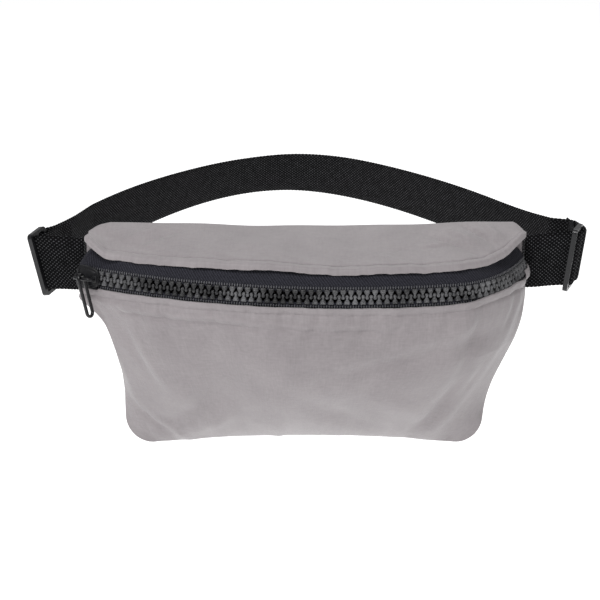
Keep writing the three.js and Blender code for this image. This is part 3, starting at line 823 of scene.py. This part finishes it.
def tooth_outline():
    """A moulded tooth: its right half from the foot on the cord to the rounded head, mirrored."""
    right = [
        (1.42, 3.9), (1.5, 2.9), (1.2, 1.9), (0.62, 1.15),
        (0.56, 0.6), (0.9, 0.1), (0.95, -0.6), (0.6, -1.15),
    ]
    left = [(-a, r) for a, r in reversed(right)]
    return rounded_outline(left + right, 0.4, 2)


def teeth_row(name, side, material):
    outline = tooth_outline() * np.array([1, side])
    if side < 0:
        outline = outline[::-1]
    shoulder = box_outline(1.1, 0.75, 0.5) + np.array([0, side * 2.8])
    tooth_verts, tooth_faces = joined([plate(outline, -1.7, 1.75, 0.42), plate(shoulder, 1.5, 2.15, 0.3)])
    parts = []
    first, spare_end = (0, 9) if side > 0 else (TOOTH_PITCH / 2, 5)
    for along in np.arange(CHAIN_START + first, ZIP_LENGTH - spare_end, TOOTH_PITCH):
        run, out, up = band_axes(along)
        origin = band_point(along, 0.0, 0.0)
        parts.append((placed(tooth_verts, origin, (run, up, out)), tooth_faces))
    return add_mesh(name, *joined(parts), material)


def top_stop(name, side, material):
    along = CHAIN_START - 3.4
    run, out, up = band_axes(along)
    block = plate(box_outline(1.1, 1.6, 0.5) + np.array([0, side * 2.4]), -1.6, 1.7, 0.35)
    verts = placed(block[0], band_point(along, 0.0, 0.0), (run, up, out))
    return add_mesh(name, verts, block[1], material)


# ---------------------------------------------------------------- slider and pull

SLIDER_RUN, SLIDER_OUT, SLIDER_UP = band_axes(SLIDER_AT)
SLIDER_ORIGIN = band_point(SLIDER_AT, 0.0, 0.0)
SLIDER_AXES = (SLIDER_RUN, SLIDER_UP, SLIDER_OUT)
PLATE_NEAR, PLATE_FAR, BAIL_BAR = 2.6, 4.3, 9.9
RING_SLANT = math.radians(14)


def slider_outline():
    shape = [(-7, -4.6), (-5, -6.3), (2, -6.1), (6.9, -4.4), (6.9, 4.4), (2, 6.1), (-5, 6.3), (-7, 4.6)]
    return rounded_outline(shape, 2.2, 5)


def slider_body(material):
    outline = slider_outline()
    outer = plate(outline, PLATE_NEAR, PLATE_FAR, 0.55)
    raised = plate(inset(outline, 1.5), PLATE_FAR - 0.1, PLATE_FAR + 0.5, 0.35)
    inner = plate(outline, -PLATE_FAR, -PLATE_NEAR, 0.55)
    web = plate(box_outline(2.4, 0.5, 0.4), -PLATE_NEAR - 0.2, PLATE_NEAR + 0.2, 0.1)
    web = (web[0] - np.array([3.6, 0, 0]), web[1])
    lip = box_outline(6.0, 0.45, 0.3) - np.array([0, 5.6])
    lip = plate(lip, PLATE_NEAR - 0.8, PLATE_FAR - 0.3, 0.2)
    foot = box_outline(1.5, 1.9, 0.8)
    feet = [plate(foot + np.array([a, 0]), PLATE_FAR - 0.1, PLATE_FAR + 1.9, 0.5) for a in (-5.4, 5.4)]
    verts, faces = joined([outer, raised, inner, web, lip, *feet])
    return add_mesh("zip_slider", placed(verts, SLIDER_ORIGIN, SLIDER_AXES), faces, material)


def slider_bail(material):
    """The arch of wire over the slider, which the ring hangs from."""
    corners = np.array([
        (-5.5, PLATE_FAR + 0.6), (-5.4, 8.6), (-4.2, BAIL_BAR), (0, BAIL_BAR + 0.05),
        (4.2, BAIL_BAR), (5.4, 8.6), (5.5, PLATE_FAR + 0.6),
    ])
    t = np.linspace(0, len(corners) - 1, 60)
    line = np.stack([np.interp(t, range(len(corners)), corners[:, k]) for k in (0, 1)], axis=1)
    for _ in range(6):
        line[1:-1] = (line[:-2] + 2 * line[1:-1] + line[2:]) / 4
    centres = placed(np.column_stack([line[:, 0], np.zeros(60), line[:, 1]]), SLIDER_ORIGIN, SLIDER_AXES)
    run = unit(np.gradient(centres, axis=0))
    ups = np.repeat(SLIDER_UP[None], 60, axis=0)
    verts, faces = sweep(centres, np.cross(run, ups), ups, circle(0.92, 14))
    return add_mesh("zip_bail", verts, faces, material)


def pull_ring(material):
    """An elongated ring of rounded bar, hung from the bail."""
    pivot = np.array(JOINTS["pull_swing"]["pos_m"]) / MM - np.array([0, 0, BASE])
    level_out = np.array([SLIDER_RUN[1], -SLIDER_RUN[0], 0.0])
    level_up = np.array([0, 0, 1.0])
    up = math.cos(RING_SLANT) * level_up - math.sin(RING_SLANT) * SLIDER_RUN
    aside = math.cos(RING_SLANT) * SLIDER_RUN + math.sin(RING_SLANT) * level_up
    top, bottom, reach = 2.2, -21.2, 2.5
    turns = np.linspace(0, math.pi, 24)
    upper = [(reach * math.cos(a), top - reach + reach * math.sin(a)) for a in turns]
    lower = [(-reach * math.cos(a), bottom + reach - reach * math.sin(a)) for a in turns]
    middle = 14
    left = [(-reach, lerp(top - reach, bottom + reach, k / middle)) for k in range(1, middle)]
    right = [(reach, lerp(bottom + reach, top - reach, k / middle)) for k in range(1, middle)]
    line = np.array(upper + left + lower + right)
    centres = pivot + line[:, :1] * level_out + line[:, 1:] * up
    run = unit(np.roll(centres, -1, axis=0) - np.roll(centres, 1, axis=0))
    across = np.repeat(aside[None], len(line), axis=0)
    section = [(x * 0.8, y * 1.05) for x, y in circle(1.0, 14)]
    verts, faces = sweep(centres, np.cross(run, across), across, section, closed=True)
    return add_mesh("ring_pull", verts, faces, material)


# ---------------------------------------------------------------- webbing


def resample(points, step):
    points = np.asarray(points, float)
    for _ in range(3):
        cut = np.empty((2 * len(points) - 2, 2))
        cut[0::2] = 0.75 * points[:-1] + 0.25 * points[1:]
        cut[1::2] = 0.25 * points[:-1] + 0.75 * points[1:]
        points = np.concatenate([points[:1], cut, points[-1:]])
    at = np.concatenate([[0], np.cumsum(np.linalg.norm(np.diff(points, axis=0), axis=1))])
    even = np.linspace(0, at[-1], int(at[-1] / step))
    return np.stack([np.interp(even, at, points[:, k]) for k in (0, 1)], axis=1), even


def web_lean(line):
    """Lean outwards at each fitting the webbing passes round, lean inwards at the back, and lift."""
    side = np.where(line[:, 0] < 0, -1, 1)
    out_x, _, _, lean, lift = np.array([FITTINGS[k] for k in side]).T
    near = smooth(np.abs(line[:, 0]) - out_x, -22, -6) * (1 - smooth(line[:, 1], 12, 50))
    inward = lerp(*BELT_LEAN, smooth(line[:, 0], -40, 40)) * smooth(line[:, 1], 35, WAIST_DEPTH)
    raised = lerp(0.6, 1, smooth(np.abs(line[:, 0]) - SEAM_HALF_WIDTH, 0, 25))
    return side * lean * near, inward, lift * (1 - smooth(line[:, 1], 10, 75)) * raised


def webbing(name, route, material):
    """A woven ribbon standing on edge along a route in plan, scalloped at its selvedges."""
    line, at = resample(route, 0.8)
    run = unit(np.gradient(line, axis=0))
    side = np.stack([-run[:, 1], run[:, 0]], axis=1)
    columns = 26
    across = np.linspace(0, WEB_WIDTH, columns)
    outward, inward, lift = (lean[:, None] for lean in web_lean(line))
    taper = np.sqrt(np.clip(1 - (np.abs(across / WEB_WIDTH - 0.5) * 2) ** 14, 0, 1))
    scallop = 0.18 * np.cos(2 * np.pi * at / WEAVE_ALONG)
    verts, uvs = [], []
    for face in (1, -1):
        offset = face * WEB_THICKNESS / 2 * taper[None]
        selvedge = 1.0 * (across[None] > WEB_WIDTH - 1) - (across[None] < 1)
        up = across[None] + selvedge * scallop[:, None]
        x = line[:, :1] + side[:, :1] * offset + (up - WEB_WIDTH / 2) * np.tan(outward)
        y = line[:, 1:] + side[:, 1:] * offset - up * np.sin(inward)
        z = WEB_BOTTOM + lift + up * np.cos(inward)
        order = slice(None) if face > 0 else slice(None, None, -1)
        verts.append(np.stack([x, y, z], axis=-1)[:, order])
        grid = np.stack(np.broadcast_arrays(at[:, None], across[None]), axis=-1)
        uvs.append(grid[:, order])
    ring = np.concatenate(verts, axis=1)
    coords = np.concatenate(uvs, axis=1)
    return add_mesh(name, ring, tube_faces(*ring.shape[:2]), material, uvs=coords.reshape(-1, 2))


def loop_round(centre, radius, start, end, steps=10):
    angles = np.linspace(start, end, steps + 1)
    return [(centre[0] + radius * math.cos(a), centre[1] + radius * math.sin(a)) for a in angles]


def tab_route(fitting):
    """A tab as it lies on the left: out from the seam, round the fitting's middle bar and back."""
    turn = loop_round((-fitting.x, 0), MID_LOOP, -math.pi / 2, -math.pi * 1.5)
    under = [(TAB_START, -1.5), (-127, -2.0), (-134, -2.3)]
    return [*under, *turn, (-134, 0.8), (-127, 0.3), (TAB_START, -0.1)]


def beside(fitting, distance, outward):
    """A place beside the fitting's rear bar, as it lies on the left: along the belt, and out of it."""
    bar = np.array([-fitting.x + REAR_BAR * math.cos(fitting.turn), REAR_BAR * math.sin(fitting.turn)])
    run = np.array([math.cos(fitting.leave), math.sin(fitting.leave)])
    return bar + run * distance + np.array([-run[1], run[0]]) * outward


def belt_end(fitting):
    """A sewn-back layer, the turn round the rear bar, and the start of the long run."""
    start = fitting.leave - math.pi / 2
    inner = [(23, -2.2), (16, -1.9), (10, -2.2), (5, -2.9)]
    turn = loop_round(beside(fitting, 0, 0), REAR_LOOP, start, start - math.pi)
    outer = [(5, 2.9), (10, 1.0), (16, 0.2)]
    return [*(beside(fitting, *p) for p in inner), *turn, *(beside(fitting, *p) for p in outer)]


def belt_route():
    left = belt_end(FITTINGS[-1])
    right = [(-x, y) for x, y in belt_end(FITTINGS[1])]
    first = math.asin((left[-1][0] + 11 - WAIST_APEX_X) / WAIST_LEFT)
    last = math.asin((right[-1][0] - 11 - WAIST_APEX_X) / WAIST_RIGHT)
    waist = []
    for angle in np.linspace(first, last, 61):
        wide, power = (WAIST_LEFT, 2) if angle < 0 else (WAIST_RIGHT, 1.75)
        across = math.sin(angle)
        waist.append((WAIST_APEX_X + wide * across, WAIST_DEPTH * (1 - abs(across) ** power)))
    return left + waist + right[::-1]


def bartack(name, centre, turn, material):
    """A block of dense zigzag stitching across a doubled webbing."""
    lean, _, lift = (float(part[0]) for part in web_lean(np.array([centre])))
    run = np.array([math.cos(turn), math.sin(turn), 0])
    up = np.array([math.tan(lean), 0, 1.0])
    out = unit(np.cross(run, up))
    middle = np.array([*centre, WEB_BOTTOM + lift + WEB_WIDTH / 2])
    rows = np.arange(-12.5, 12.5, 0.75)
    half_run, slant = 2.2, 0.37
    starts = [middle - run * half_run + up * (rise - slant) for rise in rows]
    ends = [middle + run * half_run + up * (rise + slant) for rise in rows]
    return add_mesh(name, *capsules(starts, ends, 0.36, [out] * len(rows)), material)


# ---------------------------------------------------------------- assembly


def build_pouch(cloth, yarn):
    front, front_points = front_cloth(cloth)
    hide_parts("front_panel")
    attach(front, "bag")
    lid, lid_points = lid_cloth(cloth)
    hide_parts("top_panel")
    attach(lid, "lid")
    back = back_cloth(cloth)
    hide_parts("back_panel")
    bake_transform(back)
    for piece, points, body in (
        ("front_topstitch", front_points, "bag"),
        ("lid_topstitch", lid_points, "lid"),
    ):
        line, normal = stitch_line(points, body)
        made = add_mesh(piece, *stitches(line, normal, 2.5, 0.75, 0.3), yarn)
        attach(made, body)


def stitch_line(points, body):
    """The line sewn 4.2 mm inside the front's edge, or 6.4 mm inside the rolled edge of the lid."""
    depth = 4.2 if body == "bag" else 6.4
    columns = points if body == "bag" else points[:, ::-1]
    steps = np.linalg.norm(np.diff(columns, axis=1), axis=2)
    at = np.cumsum(np.pad(steps, ((0, 0), (1, 0))), axis=1)
    normals = surface_normals(columns)
    line, normal = (
        np.array([[np.interp(depth, row_at, row[:, k]) for k in range(3)] for row_at, row in zip(at, grid)])
        for grid in (columns, normals)
    )
    outward = normal[:, 1] if body == "bag" else -normal[:, 2]
    normal[outward > 0] *= -1
    return line[8:-8], normal[8:-8]


def build_zip(tape, teeth, cloth, yarn):
    for side, body, word in ((-1, "bag", "lower"), (1, "lid", "upper")):
        low, high = (-12.5, -2.9) if side < 0 else (2.9, 12.8)
        strip = tape_strip(f"tape_{word}", low, high, 0.5 if side < 0 else 1.0, tape)
        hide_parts(f"zip_tape_{word}")
        cord, bars = tape_bead(f"bead_{word}", side * 4.9, tape, yarn)
        row = teeth_row(f"teeth_{word}", side, teeth)
        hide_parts(f"zip_teeth_{word}")
        stop = top_stop(f"stop_{word}", side, teeth)
        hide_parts(f"zip_top_stop_{word}")
        for piece in (strip, cord, bars, row, stop):
            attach(piece, body)
    cover = end_cover(cloth)
    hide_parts("zip_end_cover")
    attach(cover, "bag")


def end_cover(material):
    """A folded scrap of cloth sewn over the zip's open end."""
    lengths = np.linspace(ZIP_LENGTH - 12.5, ZIP_LENGTH - 0.8, 40)
    along, across = np.meshgrid(lengths, np.linspace(0, 1, 24), indexing="ij")
    rise = lerp(-0.8, -5.9, across)
    puff = 0.7 * np.sin(np.pi * across) + 0.15 * ripple(along * 2 + rise, PUCKER)
    points = band_point(along, rise, -2.0 - puff)
    uvs = np.stack([along, rise], axis=-1)
    return shell("zip_end_fold", points, 0.6, material, uvs)


def build_slider(metal, gloss):
    body = slider_body(metal)
    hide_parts("slider_body")
    bail = slider_bail(metal)
    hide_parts("slider_bail")
    ring = pull_ring(gloss)
    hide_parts("pull_ring")
    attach(body, "slider")
    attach(bail, "slider")
    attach(ring, "pull")


def build_webbing(web, yarn):
    belt = webbing("belt", belt_route(), web)
    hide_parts("belt_webbing")
    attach(belt, "bag")
    for word, side in (("left", -1), ("right", 1)):
        fitting = FITTINGS[side]
        route = [(-side * x, y) for x, y in tab_route(fitting)]
        tab = webbing(f"tab_{word}", route, web)
        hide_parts(f"{word}_tab")
        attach(tab, "bag")
        spot = beside(fitting, 17, 1.45)
        heading = math.pi - side * fitting.leave
        sewn = bartack(f"belt_stitch_{word}", (-side * spot[0], spot[1]), heading, yarn)
        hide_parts(f"{word}_belt_bartack")
        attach(sewn, "bag")


def build_fittings(plastic):
    for word in ("left", "right"):
        fitting = frame["nodes"][f"{word}_tri_glide"]
        fitting.data.materials.clear()
        fitting.data.materials.append(plastic)
        ease = fitting.modifiers.new("eased_edges", "BEVEL")
        ease.width, ease.segments, ease.limit_method = 0.55 * MM, 3, "ANGLE"


def build_binding(tape):
    binding = frame["nodes"]["seam_binding"]
    binding.data.materials.clear()
    binding.data.materials.append(tape)


def seam_welt(material):
    """The turned seam where the front and back cloth meet, down one side, the base and the other."""
    levels = np.linspace(0, 1, 90) ** 1.4
    side_z = lerp(0.0, 101.0, levels[::-1])
    left = np.stack([-half_width(side_z, -1) - 0.4, side_z], axis=1)
    across = np.linspace(-1, 1, 60)[1:-1] * (BASE_HALF_WIDTH - BASE_CORNER)
    base = np.stack([across, bottom_edge(across)], axis=1)
    right = np.stack([half_width(side_z, 1) + 0.4, side_z], axis=1)[::-1]
    outline = np.concatenate([left, base, right])
    wobble = 0.25 * ripple(outline[:, 0] + outline[:, 1], PUCKER)
    centres = np.column_stack([outline[:, 0], -1.6 + wobble * 0.5, outline[:, 1]])
    run = unit(np.gradient(centres, axis=0))
    back = np.repeat(np.array([[0, 1.0, 0]]), len(centres), axis=0)
    section = [(x * 0.9, y * 1.3) for x, y in circle(1, 10)]
    return add_mesh("seam_turn", *sweep(centres, np.cross(run, back), back, section), material)


# ---------------------------------------------------------------- studio


def add_light(name, place, size, power):
    """A rectangular lamp that faces the frame's origin."""
    lamp = bpy.data.lights.new(name, "AREA")
    lamp.energy, lamp.shape = power, "RECTANGLE"
    lamp.size, lamp.size_y = size
    thing = add_object(name, lamp)
    thing.location = place
    thing.rotation_euler = (-Vector(place)).to_track_quat("-Z", "Y").to_euler()


def build_studio():
    floor = bpy.data.meshes.new("floor")
    reach, level = FLOOR_REACH, BASE * MM - FLOOR_DROP
    corners = [(-reach, -reach), (reach, -reach), (reach, reach), (-reach, reach)]
    floor.from_pydata([(x, y, level) for x, y in corners], [], [(0, 1, 2, 3)])
    floor.materials.append(pale_floor())
    add_object("floor", floor)
    world = bpy.data.worlds.new("soft_white")
    world.use_nodes = True
    background = world.node_tree.nodes["Background"]
    background.inputs["Color"].default_value = (1, 1, 1, 1)
    background.inputs["Strength"].default_value = 0.42
    bpy.context.scene.world = world
    add_light("key", (-0.5, -0.9, 1.3), (0.7, 0.7), 16.8)
    add_light("fill", (1.1, -0.8, 0.5), (0.8, 0.8), 0.5)
    add_light("rim", (0.1, 1.0, 1.2), (1.0, 0.5), 5)


def build_camera():
    """In front of the bag, one metre away and 20 degrees above level."""
    camera = bpy.data.cameras.new("camera")
    camera.lens, camera.sensor_width = 108, 36
    thing = add_object("camera", camera)
    away = Vector((0, -math.cos(CAMERA_ELEVATION), math.sin(CAMERA_ELEVATION)))
    thing.location = Vector((CAMERA_AIM[0], 0, CAMERA_AIM[1])) + away * CAMERA_DISTANCE
    thing.rotation_euler = (-away).to_track_quat("-Z", "Y").to_euler()
    bpy.context.scene.camera = thing
    bpy.context.scene.view_settings.view_transform = "Standard"


build_camera()
build_studio()

cloth = satin_cloth()
tape = tape_cloth()
web = webbing_cloth()
# The teeth's tone drifts in 26 mm patches from near black to pale grey: painted highlights along the zip,
# standing in for glossy teeth catching the light.
teeth = moulded(
    "tooth_plastic", (0.006, 0.006, 0.007), (0.14, 0.14, 0.147),
    roughness=0.4, grain_mm=0.5, depth_mm=0.03, patch_mm=26, tones=(0.44, 0.6),
)
metal = moulded(
    "slider_coat", (0.004, 0.004, 0.005), (0.012, 0.012, 0.014),
    roughness=0.3, grain_mm=0.4, depth_mm=0.02, specular=0.3,
)
gloss = moulded(
    "ring_gloss", (0.003, 0.003, 0.004), (0.009, 0.009, 0.01),
    roughness=0.16, grain_mm=0.6, depth_mm=0.01, specular=0.4,
)
plastic = moulded(
    "fitting_plastic", (0.005, 0.005, 0.006), (0.014, 0.014, 0.016),
    roughness=0.26, grain_mm=0.45, depth_mm=0.03, specular=0.4,
)
grey_yarn = thread_yarn("grey_thread", (0.16, 0.15, 0.155), (0.3, 0.285, 0.29))
black_yarn = thread_yarn("black_thread", (0.008, 0.008, 0.009), (0.03, 0.03, 0.033))
bead_yarn = thread_yarn("bead_yarn", (0.03, 0.03, 0.035), (0.16, 0.16, 0.17))

build_pouch(cloth, grey_yarn)
welt = seam_welt(cloth)
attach(welt, "bag")
build_zip(tape, teeth, cloth, bead_yarn)
build_slider(metal, gloss)
build_webbing(web, black_yarn)
build_fittings(plastic)
build_binding(tape)
